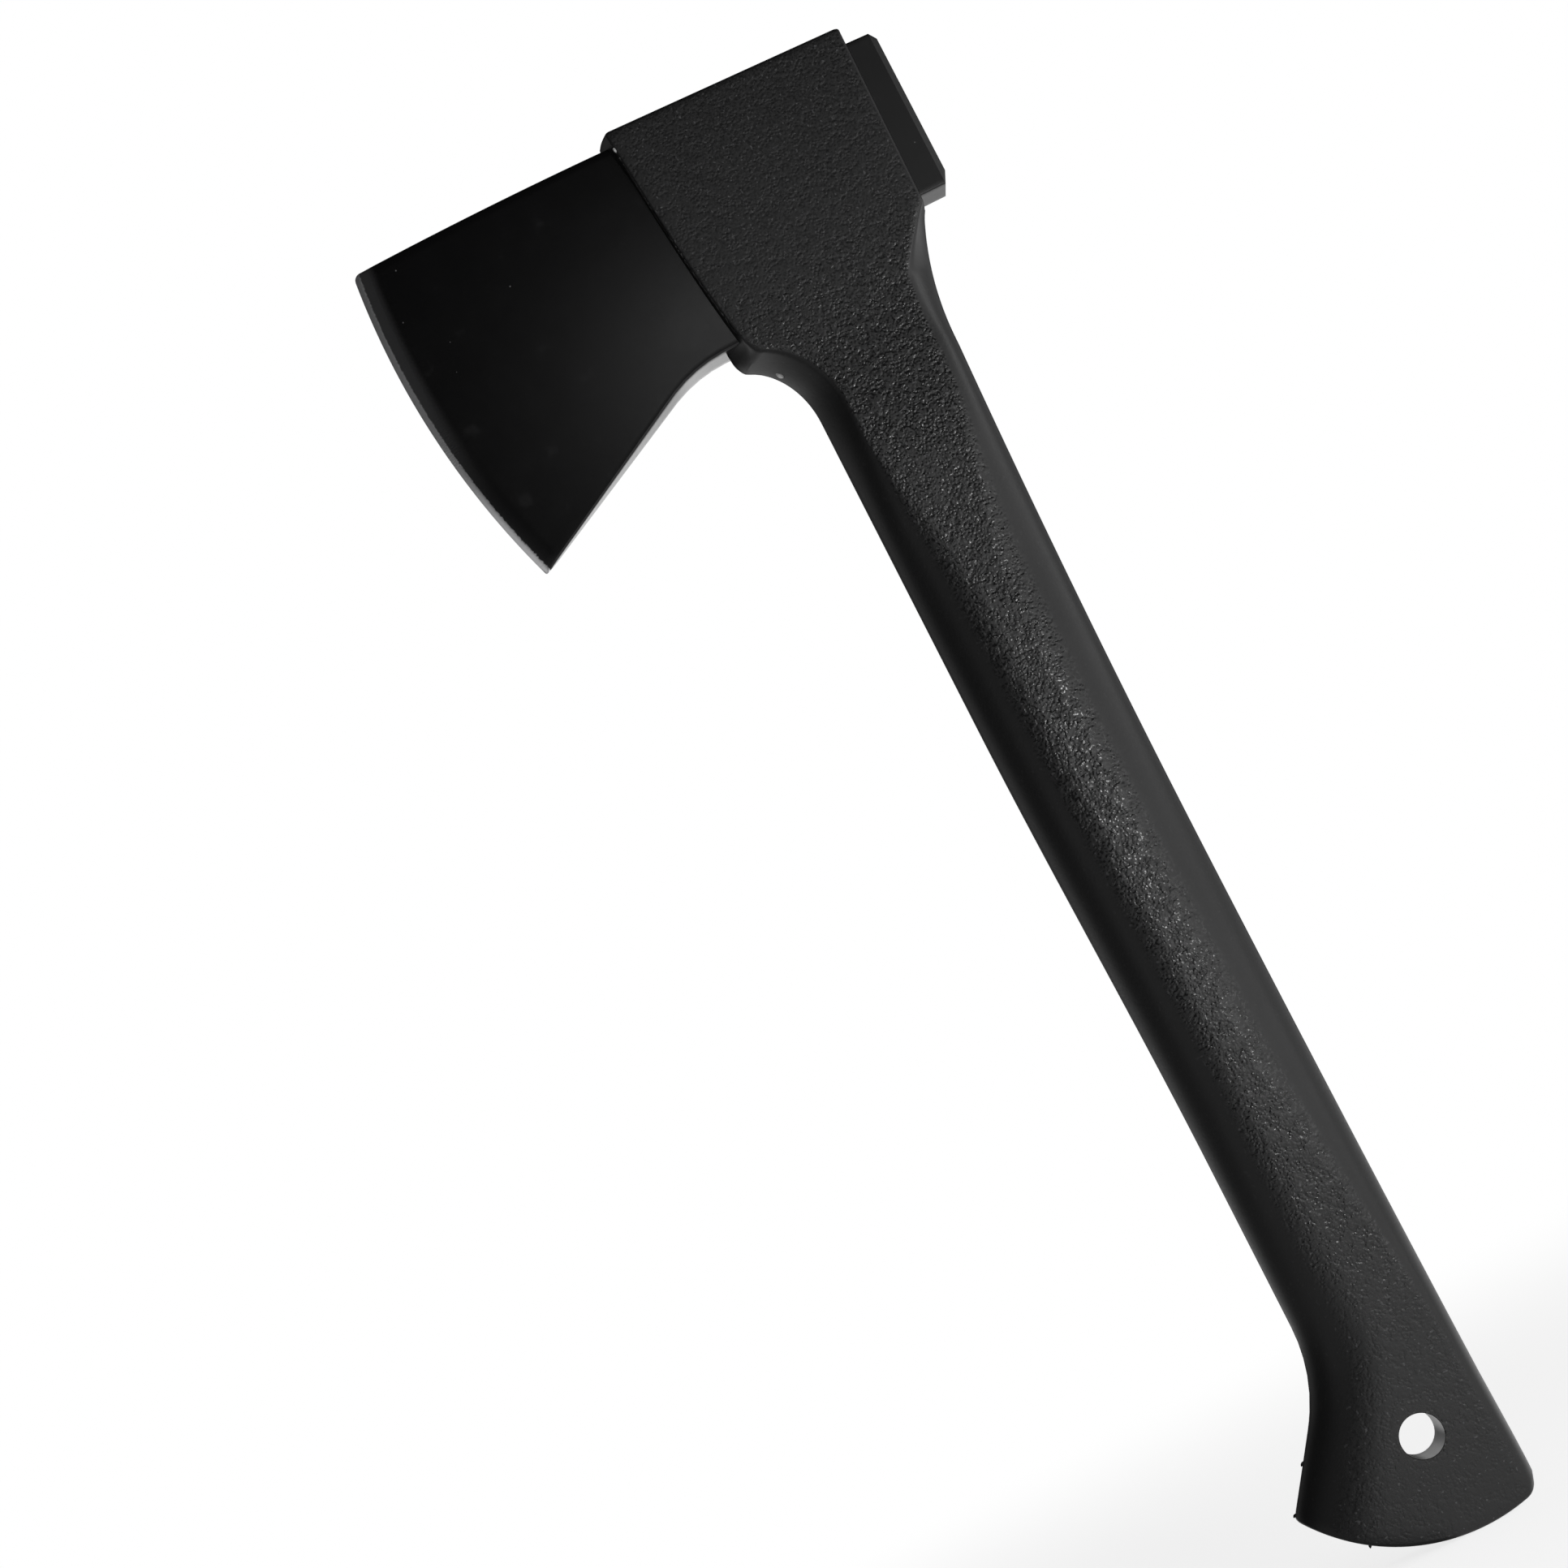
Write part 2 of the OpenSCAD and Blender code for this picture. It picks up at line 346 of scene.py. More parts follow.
def tube(path, radii, sides=7):
    """Points and faces of a closed tube along 3-D points, with a radius at each."""
    turns = [2 * math.pi * i / sides for i in range(sides)]
    slanted = Vector((0.3, 0.9, 0.2))
    rings = []
    for k, p in enumerate(path):
        before, after = Vector(path[max(k - 1, 0)]), Vector(path[min(k + 1, len(path) - 1)])
        along = (after - before).normalized()
        side = along.cross(slanted).normalized()
        up = along.cross(side)
        rings.append([Vector(p) + radii[k] * (math.cos(t) * side + math.sin(t) * up) for t in turns])
    return barrel(rings)


def make_object(name, shells):
    """One object from closed shells of millimetre points, with every face turned outwards."""
    bm = bmesh.new()
    for points, faces in shells:
        verts = [bm.verts.new([c * MM for c in p]) for p in points]
        for face in faces:
            bm.faces.new([verts[i] for i in face])
    bmesh.ops.recalc_face_normals(bm, faces=bm.faces)
    mesh = bpy.data.meshes.new(name)
    bm.to_mesh(mesh)
    bm.free()
    obj = bpy.data.objects.new(name, mesh)
    bpy.context.scene.collection.objects.link(obj)
    return obj


def cut(obj, cutter):
    """Takes one closed object out of another, and removes the cutter."""
    change = obj.modifiers.new("cut", "BOOLEAN")
    change.object = cutter
    change.solver = "EXACT"
    bpy.context.view_layer.update()
    depsgraph = bpy.context.evaluated_depsgraph_get()
    done = bpy.data.meshes.new_from_object(obj.evaluated_get(depsgraph))
    obj.modifiers.clear()
    obj.data = done
    bpy.data.objects.remove(cutter)


def join(obj, extra):
    """Closes the triangles that a cut has dropped, and adds another object's closed shells."""
    bm = bmesh.new()
    bm.from_mesh(obj.data)
    bmesh.ops.holes_fill(bm, edges=bm.edges, sides=3)
    bm.from_mesh(extra.data)
    bm.to_mesh(obj.data)
    bm.free()
    bpy.data.objects.remove(extra)


def smooth(obj, angle):
    """Smooth shading that breaks only at edges sharper than an angle in degrees."""
    obj.data.shade_smooth()
    obj.data.set_sharp_from_angle(angle=math.radians(angle))


# ---------------------------------------------------------------- head

def spine_z(x):
    """Height of the blade's top edge: a line with a slight upward bulge."""
    t = (x - TOE[0]) / (SPINE_END[0] - TOE[0])
    return lerp(TOE[1], SPINE_END[1], t) + SPINE_BULGE * 4 * t * (1 - t)


def beard_path():
    """Lower edge of the blade from the heel to inside the collar: straight, an arch, then level."""
    centre = (BEARD_TOP[0], BEARD_TOP[1] - BEARD_RADIUS)
    arch = arc(centre, BEARD_RADIUS, math.pi / 2 + BEARD_ANGLE, math.pi / 2, 16)
    inside = (SPINE_END[0] + 6, BEARD_TOP[1])
    return Path([HEEL] + arch + [inside])


def meet_circle(point_at, low, high, radius):
    """Where a line that nears EDGE_CENTRE crosses the circle of a given radius round it."""
    for _ in range(40):
        middle = (low + high) / 2
        if math.dist(point_at(middle), EDGE_CENTRE) > radius:
            low = middle
        else:
            high = middle
    return point_at(low)


def blade_half(depth):
    """Half the thickness at a distance behind the cutting edge."""
    if depth < MICRO_WIDTH:
        t = depth / MICRO_WIDTH
        return EDGE_HALF + (MICRO_HALF - EDGE_HALF) * ((1 + MICRO_BOW) * t - MICRO_BOW * t * t)
    flat = SHOULDER_HALF + CHEEK_SLOPE * (depth - BEVEL_WIDTH)
    if depth < BEVEL_WIDTH:
        t = (depth - MICRO_WIDTH) / (BEVEL_WIDTH - MICRO_WIDTH)
        bow = SHOULDER_HALF - MICRO_HALF - CHEEK_SLOPE * (BEVEL_WIDTH - MICRO_WIDTH)
        return flat - bow * (1 - t) ** 2
    return flat


def blade_station(depth, beard):
    """The side-view curve, from spine to beard, at a distance behind the cutting edge."""
    radius = EDGE_RADIUS - depth
    top = meet_circle(lambda x: (x, spine_z(x)), TOE[0] - 3, SPINE_END[0] + 20, radius)
    low = meet_circle(beard.at, 0, beard.length, radius)
    path = Path(arc(EDGE_CENTRE, radius, heading(EDGE_CENTRE, top), heading(EDGE_CENTRE, low), 48))

    def trimmed(corner):
        return corner - math.sqrt(corner ** 2 - (corner - depth) ** 2) if depth < corner else 0.0

    return path.part(trimmed(TOE_ROUND), path.length - trimmed(HEEL_ROUND))


def eye_station(x, shrink_top=0.0, shrink_low=0.0):
    """The side-view line, from top to bottom, of the eye section or the poll."""
    run = share(x, (SPINE_END[0], POLL_REACH - POLL_CHAMFER))
    top = lerp(spine_z(SPINE_END[0]), POLL_TOP, run)
    low = lerp(BEARD_TOP[1], POLL_LOW, share(x, EYE_LOW_SPAN))
    return Path([(x, top - shrink_top), (x, low + shrink_low)])


def head_wall(half, edge):
    """(inward, y) from mid-thickness along a wall and round its edge to the cheek."""
    wall = [(0.0, (half - edge) * j / HEAD_WALL_STEPS) for j in range(HEAD_WALL_STEPS + 1)]
    turns = [math.pi / 2 * j / HEAD_TURN_STEPS for j in range(1, HEAD_TURN_STEPS + 1)]
    return wall + [(edge * (1 - math.cos(a)), half - edge * (1 - math.sin(a))) for a in turns]


def head_ring(path, half, edge_top, edge_low):
    """One ring of the head: walls along the spine and the beard, rounded into flat cheeks."""
    room = 0.8 * half
    edge_top, edge_low = min(edge_top, room), min(edge_low, room)
    cheek = path.length - edge_top - edge_low
    rows = head_wall(half, edge_top)
    rows += [(edge_top + cheek * j / HEAD_CHEEK_STEPS, half) for j in range(1, HEAD_CHEEK_STEPS)]
    rows += [(path.length - s, y) for s, y in reversed(head_wall(half, edge_low))]
    ring = []
    for s, y in rows:
        x, z = path.at(s)
        ring.append((x, y, z))
    return ring + [(x, -y, z) for x, y, z in reversed(ring[1:-1])]


def head_shell(grow=0.0):
    """The whole head as one skin. A little growth turns it into the cutter for the handle's mouth."""
    beard = beard_path()
    depths = list(BEVEL_DEPTHS) + [CHEEK_START + CHEEK_PITCH * k for k in range(CHEEK_RINGS)]
    rings = []
    for depth in depths:
        half = blade_half(depth) + grow
        rings.append(head_ring(blade_station(depth, beard), half, SPINE_ROUND, BEARD_ROUND))
    for x in EYE_RINGS + (POLL_REACH - POLL_CHAMFER,):
        half = mix(EYE_HALF, EYE_FRONT_HALF, -x / EYE_FRONT_BLEND) + grow
        rings.append(head_ring(eye_station(x, -grow, -grow), half, EYE_ROUND, EYE_ROUND))
    face = eye_station(POLL_REACH, POLL_CHAMFER - grow, POLL_LOW_CHAMFER - grow)
    rings.append(head_ring(face, EYE_HALF - POLL_CHAMFER + grow, EYE_ROUND, EYE_ROUND))
    return loft(rings)


# ---------------------------------------------------------------- handle outline

def front_x(z):
    """Front of the grip at mid-thickness: throat, straight grip, hollow, then the beak's slope."""
    straight = -mix(GRIP_FRONT_LOW, GRIP_FRONT_TOP, share(z, GRIP_FRONT_SPAN))
    if z > THROAT_Z:
        s = min((z - THROAT_Z) / THROAT_RISE, 0.96)
        return straight - THROAT_REACH * (1 - math.sqrt(1 - s * s))
    if z > HOLLOW_Z:
        return straight
    if z > HOLLOW_END[1]:
        s = (HOLLOW_Z - z) / BEAK_RADIUS
        return -GRIP_FRONT_LOW - BEAK_RADIUS * (1 - math.sqrt(1 - s * s))
    return HOLLOW_END[0] - (HOLLOW_END[1] - z) * math.tan(BEAK_SLOPE)


def rear_x(z):
    """Back of the grip: a slight swell from the waist, a small flare at the butt, and the shoulder."""
    swell = SWELL_ABOVE if z > WAIST else SWELL_BELOW
    back = GRIP_REAR + (min(z, SHOULDER_Z) - WAIST) ** 2 / 2 / swell
    back += FLARE * ease((FLARE_TOP - z) / FLARE_HEIGHT)
    if z > SHOULDER_Z:
        s = min((z - SHOULDER_Z) / SHOULDER_RADIUS, 0.45)
        back += SHOULDER_RADIUS * (1 - math.sqrt(1 - s * s))
    return back


def half_at(z):
    """Half the thickness of the grip between its cheeks."""
    if z > NECK_Z:
        return mix(NECK_HALF, COLLAR_HALF, share(z, NECK_SPAN))
    if z > WAIST:
        return mix(GRIP_HALF, NECK_HALF, share(z, (WAIST, NECK_Z)))
    return mix(BUTT_HALF, GRIP_HALF, share(z, GRIP_SPAN))


def lip_reach(t):
    """How far the lip sweeps back to its cheeks, from its lower corner (0) to its top (1)."""
    return LIP_TOP + LIP_SWEEP * (1 - t) ** 4


def lip_point(t):
    """Front of the lip at mid-thickness, from its lower corner (0) to its top (1)."""
    low = (LOW_FRONT[0] - LIP_LOW, LOW_FRONT[1])
    top = (TOP_FRONT[0] - LIP_TOP, TOP_FRONT[1])
    return lerp(low, top, t)


def front_side(z):
    """How the front rounds over at a height: (reach, crease, corner, nose)."""
    if z > FLANK_MIDDLE:
        reach = mix(GRIP_REACH, NECK_REACH, share(z, FLANK_SPAN))
    else:
        reach = mix(BUTT_REACH, GRIP_REACH, share(z, BUTT_SPAN))
    near_lip = share(z, LIP_SPAN)
    reach = lerp(reach, THROAT_END_REACH, share(z, THROAT_SPAN))
    reach = lerp(reach, lip_reach(0), near_lip)
    corner = COLLAR_CORNER * ease(share(z, FRONT_CORNER_SPAN))
    return reach, ease(share(z, FRONT_CREASE_SPAN)), corner, near_lip


def rear_side(z):
    """How the back rounds over at a height: (reach, crease, corner)."""
    if z > FLANK_MIDDLE:
        reach = mix(GRIP_REACH, NECK_REAR_REACH, share(z, FLANK_SPAN))
    else:
        reach = mix(BUTT_REAR_REACH, GRIP_REACH, share(z, BUTT_REAR_SPAN))
    reach = lerp(reach, COLLAR_REAR_REACH, share(z, SHOULDER_SPAN))
    corner = COLLAR_CORNER * ease(share(z, REAR_CORNER_SPAN))
    return reach, ease(share(z, REAR_CREASE_SPAN)), corner


def neck_heights(top):
    """Even heights from just below the throat to a given height."""
    steps = 26
    return [lerp(THROAT_Z - 3, top, k / steps) for k in range(steps + 1)]


def throat_path():
    """Front of the neck, from the top of the straight grip round the throat to the lip's lower corner."""
    points = [(front_x(z), z) for z in neck_heights(THROAT_TOP)]
    lip = lip_point(0)
    return Path(points + [(lip[0] + 0.55, lip[1] - 1.9), (lip[0] + 0.15, lip[1] - 1.0), lip])


def shoulder_path():
    """Back of the neck, from the same height up to the collar's lower rear corner."""
    return Path([(rear_x(z), z) for z in neck_heights(LOW_REAR[1] - 1.2)] + [LOW_REAR])


# ---------------------------------------------------------------- handle butt

def beak_centre():
    """Centre of the beak's corner: BEAK_CORNER inside the front's slope and inside the end arc."""
    down = (-math.sin(BEAK_SLOPE), -math.cos(BEAK_SLOPE))
    inward = (-down[1], down[0])
    base = (HOLLOW_END[0] + inward[0] * BEAK_CORNER - BUTT_CENTRE[0],
            HOLLOW_END[1] + inward[1] * BEAK_CORNER - BUTT_CENTRE[1])
    along = base[0] * down[0] + base[1] * down[1]
    gap = base[0] ** 2 + base[1] ** 2 - (BUTT_RADIUS - BEAK_CORNER) ** 2
    t = -along + math.sqrt(along ** 2 - gap)
    return (BUTT_CENTRE[0] + base[0] + t * down[0], BUTT_CENTRE[1] + base[1] + t * down[1])


def butt_paths():
    """The butt's front, end and back as paths that meet in the middle of its two rounded corners."""
    beak = beak_centre()
    back = rear_x(0) + HEEL_FLARE
    reach = BUTT_RADIUS - HEEL_CORNER
    heel_x = back - HEEL_CORNER
    heel = (heel_x, BUTT_CENTRE[1] - math.sqrt(reach ** 2 - (heel_x - BUTT_CENTRE[0]) ** 2))
    out_beak, out_heel = heading(BUTT_CENTRE, beak), heading(BUTT_CENTRE, heel)

    beak_arc = arc(beak, BEAK_CORNER, math.pi - BEAK_SLOPE, out_beak, BEAK_STEPS)
    heel_arc = arc(heel, HEEL_CORNER, out_heel - 2 * math.pi, 0.0, HEEL_STEPS)
    end_arc = arc(BUTT_CENTRE, BUTT_RADIUS, out_beak, out_heel, 60)
    slope = [(front_x(z), z) for z in (BUTT_START, BUTT_START - 1, BUTT_START - 2, HOLLOW_END[1])]
    rise = []
    for t in (0.25, 0.5, 0.75, 1):
        rise.append((lerp(back, rear_x(BUTT_START), ease(t)), lerp(heel[1], BUTT_START, t)))

    half_beak, half_heel = BEAK_STEPS // 2, HEEL_STEPS // 2
    front = Path(slope + beak_arc[:half_beak + 1])
    end = Path(beak_arc[half_beak:] + end_arc[1:-1] + heel_arc[:half_heel + 1])
    rear = Path((heel_arc[half_heel:] + rise)[::-1])
    return front, end, rear


def butt_station(front, end, rear, w):
    """A curve across the butt, from the straight line above the hole (w 0) to the end arc (w 1)."""
    left, right = front.at(w * front.length), rear.at(w * rear.length)
    top_left, top_right = front.at(0), rear.at(0)
    low_left, low_right = end.at(0), end.at(end.length)

    def at(u):
        top = lerp(top_left, top_right, u)
        low = end.at(u * end.length)
        bent = []
        for i in (0, 1):
            high = (1 - u) * top_left[i] + u * top_right[i]
            deep = (1 - u) * low_left[i] + u * low_right[i]
            sides = (1 - w) * top[i] + w * low[i] + (1 - u) * left[i] + u * right[i]
            bent.append(sides - ((1 - w) * high + w * deep))
        return tuple(bent)

    return at


# ---------------------------------------------------------------- handle body

def side_rows(half, reach, crease, corner, nose=0.0):
    """(inward, y) from the mould line to the flat cheek.

    Crease 1 meets the cheek at an angle and 0 smoothly. Nose 1 keeps the middle full, as on the lip.
    """
    heights = list(SEAM_STEPS)
    heights += [half * math.sin(math.pi / 2 * j / FLANK_STEPS) for j in range(1, FLANK_STEPS + 1)]
    rows = []
    for y in heights:
        s = min(y / half, 1.0)
        creased = lerp(s ** 1.5, lip_curve(s), nose)
        bow = (1 - crease) * (1 - math.sqrt(1 - s * s)) + crease * creased
        over = max(0.0, y - half + corner)
        bend = corner - math.sqrt(max(corner ** 2 - over ** 2, 0.0))
        seam = SEAM_HEIGHT * (1 - y / SEAM_STEPS[-1]) ** 2 if y < SEAM_STEPS[-1] else 0.0
        rows.append((reach * bow + bend - seam, y))
    return rows


def lip_curve(s):
    """How the lip falls back from mid-thickness (0) to its cheek (1)."""
    return 1 - (1 - s) ** 1.8


def handle_ring(at, half, front, rear, inset=0.0):
    """A ring across the handle. at(u) runs from its front to its back at mid-thickness."""
    width = math.dist(at(0), at(1))
    fore, aft = side_rows(half, *front), side_rows(half, *rear)
    start, stop = fore[-1][0], width - aft[-1][0]
    rows = list(fore)
    rows += [(lerp(start, stop, j / CHEEK_STEPS), half) for j in range(1, CHEEK_STEPS)]
    rows += [(width - x, y) for x, y in reversed(aft)]
    ring = []
    for x, y in rows:
        across = inset + x * (1 - 2 * inset / width)
        p = at(across / width)
        ring.append((p[0], y * (1 - inset / half), p[1]))
    return ring + [(x, -y, z) for x, y, z in reversed(ring[1:-1])]


def line(a, b):
    return lambda u: lerp(a, b, u)


def rounding(radius, steps=6):
    """(distance left to the end, inset) pairs of a rounded end edge."""
    turns = [math.pi / 2 * k / steps for k in range(steps + 1)]
    return [(radius * (1 - math.sin(a)), radius * (1 - math.cos(a))) for a in turns]


def butt_rings():
    """Rings from the end of the butt up to the straight line above the hole."""
    front, end, rear = butt_paths()
    depth = BUTT_START - BUTT_CENTRE[1] + BUTT_RADIUS
    coarse = [(1 - k / BUTT_STEPS) * depth for k in range(1, BUTT_STEPS)]
    stations = [(left, 0.0) for left in coarse if left > BUTT_EDGE * 1.5] + rounding(BUTT_EDGE)
    rings = []
    for left, inset in stations:
        at = butt_station(front, end, rear, 1 - left / depth)
        half = half_at(at(0.5)[1])
        reach_front, reach_rear = front_side(at(0)[1])[0], rear_side(at(1)[1])[0]
        ring = handle_ring(at, half, (reach_front, 0, 0), (reach_rear, 0, 0))
        thin = 1 - inset / half
        rings.append([(x, y * thin, z) for x, y, z in ring])
    return rings[::-1]


def grip_rings():
    rings = []
    for k in range(GRIP_RINGS):
        z = BUTT_START + GRIP_PITCH * k
        across = line((front_x(z), z), (rear_x(z), z))
        rings.append(handle_ring(across, half_at(z), front_side(z), rear_side(z)))
    return rings


def neck_rings():
    throat, shoulder = throat_path(), shoulder_path()
    rings = []
    for k in range(NECK_STEPS):
        t = k / NECK_STEPS
        a, b = throat.at(t * throat.length), shoulder.at(t * shoulder.length)
        half = half_at((a[1] + b[1]) / 2)
        rings.append(handle_ring(line(a, b), half, front_side(a[1]), rear_side(b[1])))
    return rings


def collar_rings():
    rise = TOP_FRONT[1] - LOW_FRONT[1]
    stations = [(rise * (1 - k / COLLAR_STEPS), 0.0) for k in range(COLLAR_STEPS)]
    rear = (COLLAR_REAR_REACH, 1.0, COLLAR_CORNER)
    rings = []
    for left, inset in stations + rounding(COLLAR_EDGE):
        t = 1 - left / rise
        across = line(lip_point(t), lerp(LOW_REAR, TOP_REAR, t))
        front = (lip_reach(t), 1.0, LIP_CORNER, ease(left / LIP_FADE))
        rings.append(handle_ring(across, COLLAR_HALF, front, rear, inset))
    return rings


def hole_cutter():
    """A spool that drills the lanyard hole and rounds its two rims."""
    edge = BUTT_HALF + HOLE_RIM_LIFT
    profile = [(BUTT_HALF + 2, HOLE_RADIUS + HOLE_RIM + 0.6), (edge, HOLE_RADIUS + HOLE_RIM)]
    steps = 6
    for k in range(1, steps + 1):
        a = math.pi / 2 * k / steps
        opening = 1 - math.cos(math.pi / 2 - a)
        profile.append((edge - HOLE_RIM * math.sin(a), HOLE_RADIUS + HOLE_RIM * opening))
    profile += [(-y, r) for y, r in reversed(profile)]
    turns = [2 * math.pi * i / HOLE_SIDES for i in range(HOLE_SIDES)]
    return barrel([[(r * math.cos(a), y, r * math.sin(a)) for a in turns] for y, r in profile])


# ---------------------------------------------------------------- moulding flash

def lip_front(z, y):
    """Front of the collar at a height and at a distance from the middle."""
    t = (z - LOW_FRONT[1]) / (TOP_FRONT[1] - LOW_FRONT[1])
    return lip_point(t)[0] + lip_reach(t) * lip_curve(abs(y) / COLLAR_HALF)


def flash_strand(side, low, high, y, thick, seed):
    """A ragged thread of nylon squeezed out along the joint of blade and collar."""
    steps = round((high - low) / STRAND_PITCH)
    path, radii = [], []
    for k in range(steps + 1):
        z = lerp(low, high, k / steps)
        wave = noise.noise(Vector((z * 0.9, seed, 0.0)))
        ripple = noise.noise(Vector((z * 2.3, seed + 7.0, 0.0)))
        path.append((lip_front(z, y) + 0.22 * wave, side * (y + 0.16 * ripple), z))
        from_end = min(k, steps - k) / 3
        radii.append(thick * (0.75 + 0.6 * ripple) * min(0.25 + from_end, 1.0))
    return tube(path, radii)


def burr(start, end, thick):
    """A small tapered bead of moulding flash."""
    return tube([lerp(start, end, t) for t, _ in BURR_SHAPE], [thick * r for _, r in BURR_SHAPE])


def rim_burr(turn):
    """A bead beside the hole's near rim, at an angle in degrees."""
    a = math.radians(turn)
    out = (math.cos(a), math.sin(a))
    rim = HOLE_RADIUS + 0.35 + 0.12 * math.sin(5 * a)
    start = (rim * out[0], -BUTT_HALF, rim * out[1])
    end = (start[0] - 0.5 * out[1], -BUTT_HALF, start[2] + 0.5 * out[0])
    return burr(start, end, 0.13)


def mould_marks():
    """Flash and burrs that the mould left on the joint, the throat, the butt and the hole's rim."""
    marks = []
    for side, first_seed in STRAND_SIDES:
        for low, high, y, thick, seed in STRANDS:
            marks.append(flash_strand(side, low, high, y, thick, first_seed + seed))
    marks += [burr(*bead) for bead in BURRS]
    marks += [rim_burr(turn) for turn in RIM_BURR_TURNS]
    return marks


def build_handle():
    rings = butt_rings() + grip_rings() + neck_rings() + collar_rings()
    handle = make_object("nylon_handle", [loft(rings)])
    cut(handle, make_object("mouth_cutter", [head_shell(grow=MOUTH_GAP)]))
    cut(handle, make_object("hole_cutter", [hole_cutter()]))
    join(handle, make_object("mould_marks", mould_marks()))
    smooth(handle, 32)
    return handle


def build_head():
    head = make_object("steel_head", [head_shell()])
    smooth(head, 28)
    return head


# ---------------------------------------------------------------- shader helpers

def node(tree, kind, inputs=None, **settings):
    """Adds a shader node. Inputs are sockets to link or plain values."""
    made = tree.nodes.new(kind)
    for key, value in settings.items():
        setattr(made, key, value)
    for key, value in (inputs or {}).items():
        if isinstance(value, bpy.types.NodeSocket):
            tree.links.new(value, made.inputs[key])
        else:
            made.inputs[key].default_value = value
    return made


def calc(tree, operation, a, b=0.0):
    return node(tree, "ShaderNodeMath", {0: a, 1: b}, operation=operation).outputs[0]


def times(tree, a, b):
    return calc(tree, "MULTIPLY", a, b)


def axes_of(tree, vector):
    """The X, Y and Z outputs of a vector."""
    return node(tree, "ShaderNodeSeparateXYZ", {0: vector}).outputs


def vector_math(tree, operation, a, b):
    return node(tree, "ShaderNodeVectorMath", {0: a, 1: b}, operation=operation).outputs


def ramp(tree, value, low, high, to_low=0.0, to_high=1.0):
    """A smooth step of a value between two limits."""
    inputs = {"Value": value, "From Min": low, "From Max": high, "To Min": to_low, "To Max": to_high}
    return node(tree, "ShaderNodeMapRange", inputs, interpolation_type="SMOOTHSTEP").outputs["Result"]


def blend_colour(tree, amount, a, b):
    inputs = {0: amount, 6: a, 7: b}
    return node(tree, "ShaderNodeMix", inputs, data_type="RGBA").outputs[2]


def grey(value):
    return (value, value, value, 1)


def plain_noise(tree, vector, scale, detail):
    inputs = {"Vector": vector, "Scale": scale, "Detail": detail}
    return node(tree, "ShaderNodeTexNoise", inputs).outputs


def grain_noise(tree, place, size_mm, detail):
    """Noise whose patches are about size_mm across, as a socket from 0 to 1."""
    inputs = {"Vector": place, "Scale": 1 / (size_mm * MM), "Detail": detail, "Roughness": 0.55}
    return node(tree, "ShaderNodeTexNoise", inputs).outputs["Fac"]


def bump(tree, height, strength, distance_mm):
    inputs = {"Height": height, "Strength": strength, "Distance": distance_mm * MM}
    return node(tree, "ShaderNodeBump", inputs).outputs[0]


def start_material(name):
    """A material with one Principled shader, and its tree and object coordinates."""
    material = bpy.data.materials.new(name)
    material.use_nodes = True
    tree = material.node_tree
    shader = tree.nodes["Principled BSDF"]
    place = node(tree, "ShaderNodeTexCoord").outputs["Object"]
    return material, tree, shader, place


def finish_material(tree, shader, sockets, specular):
    """Links sockets to the shader's inputs by name, and sets its uniform specular level."""
    for name, socket in sockets.items():
        tree.links.new(socket, shader.inputs[name])
    shader.inputs["Specular IOR Level"].default_value = specular


# ---------------------------------------------------------------- nylon

def textured_areas(tree, place):
    """Where the mould is textured, and how much of its grain shows: strongest on the grip."""
    axes = axes_of(tree, place)
    normal = node(tree, "ShaderNodeNewGeometry").outputs["Normal"]
    flatness = calc(tree, "ABSOLUTE", axes_of(tree, normal)["Y"])
    drafted = ramp(tree, flatness, 0.92, 0.99, 0.12, 1.0)
    off_line = ramp(tree, calc(tree, "ABSOLUTE", axes["Y"]), 0.35 * MM, 1.1 * MM)
    textured = times(tree, off_line, drafted)
    from_middle = calc(tree, "ABSOLUTE", calc(tree, "SUBTRACT", axes["Z"], 130 * MM))
    gripped = ramp(tree, from_middle, 80 * MM, 120 * MM, 1.0, 0.4)
    return textured, times(tree, textured, gripped)


def pebble_height(tree, place, grained):
    """Height of the pebble grain: warped cells with a fine noise, in patches."""
    warp = plain_noise(tree, place, 900.0, 1.0)["Color"]
    shift = node(tree, "ShaderNodeVectorMath", {0: warp, "Scale": 0.5 * MM}, operation="SCALE").outputs[0]
    inputs = {"Vector": vector_math(tree, "ADD", place, shift)[0], "Scale": 1650.0, "Smoothness": 0.25}
    cells = node(tree, "ShaderNodeTexVoronoi", inputs, feature="SMOOTH_F1").outputs["Distance"]
    fine = grain_noise(tree, place, 0.3, 1.0)
    height = calc(tree, "ADD", times(tree, cells, -0.8), times(tree, fine, 0.25))
    patchy = ramp(tree, grain_noise(tree, place, 2.0, 1.0), 0.42, 0.58, 0.3, 1.0)
    return times(tree, height, times(tree, grained, patchy))


def nylon_colour(tree, place, broad, textured):
    """Near-black, with rare pale specks painted in as glints off the grain, and whitish painted highlights
    on the flash beads.
    """
    colour = blend_colour(tree, broad, (0.006, 0.006, 0.0062, 1), (0.010, 0.010, 0.0103, 1))
    # Painted highlights: sparse pale specks on the textured faces stand in for glints off the grain.
    specks = ramp(tree, plain_noise(tree, place, 1500.0, 0.0)["Fac"], 0.74, 0.80)
    painted_glint_specks = times(tree, specks, times(tree, textured, 0.35))
    colour = blend_colour(tree, painted_glint_specks, colour, (0.16, 0.16, 0.165, 1))
    # Painted highlights: whitish spots on the flash beads where they would catch the light.
    for x, y, z, radius in PAINTED_FLASH_HIGHLIGHTS:
        gap = vector_math(tree, "DISTANCE", place, (x * MM, y * MM, z * MM))["Value"]
        white = ramp(tree, gap, radius * MM, 1.8 * radius * MM, 0.8, 0.0)
        colour = blend_colour(tree, white, colour, grey(0.6))
    return colour


